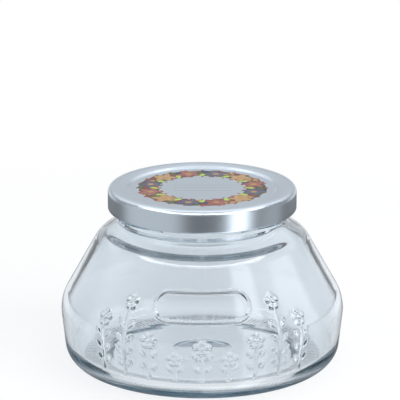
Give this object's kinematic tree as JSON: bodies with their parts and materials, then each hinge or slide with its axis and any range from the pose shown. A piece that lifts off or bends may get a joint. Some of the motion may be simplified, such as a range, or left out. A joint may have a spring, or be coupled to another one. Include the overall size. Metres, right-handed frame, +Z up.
{
  "type": "jam jar with twist-off lid",
  "caption": "Squat glass jam jar with a conical shoulder, raised flowers round a bare plaque on its front, a lug-thread mouth and a sheet-metal twist-off lid with a sealing ring; it stores jam or preserves.",
  "frame": {"origin": "centre of the ring that the jar stands on, on the table plane", "axes": "+Z up along the axis of the jar, lid and thread; -Y faces the pictured front; +X is the right of the picture"},
  "size_m": [0.121, 0.122, 0.0781],
  "materials": {
    "jar_glass": "clear pressed glass with a faint blue tint",
    "lid_tinplate": "satin silver lacquer on tinplate, printed panel",
    "seal_compound": "smooth off-white sealing compound"
  },
  "bodies": {
    "jar": {"jar": "jar_glass"},
    "seal": {"sealing_ring": "seal_compound"},
    "lid": {"lid": "lid_tinplate"}
  },
  "joints": [
    {"name": "lid_lift", "type": "slide", "parent": "jar", "child": "seal", "axis": [0, 0, 1], "range_m": [0, 0.03]},
    {"name": "lid_turn", "type": "hinge", "parent": "seal", "child": "lid", "pos_m": [0, 0, 0.078], "axis": [0, 0, 1], "range_deg": [0, 720]}
  ],
  "couplings": [
    {"joint": "lid_lift", "follows": "lid_turn", "m_per_rad": 0.002387}
  ]
}
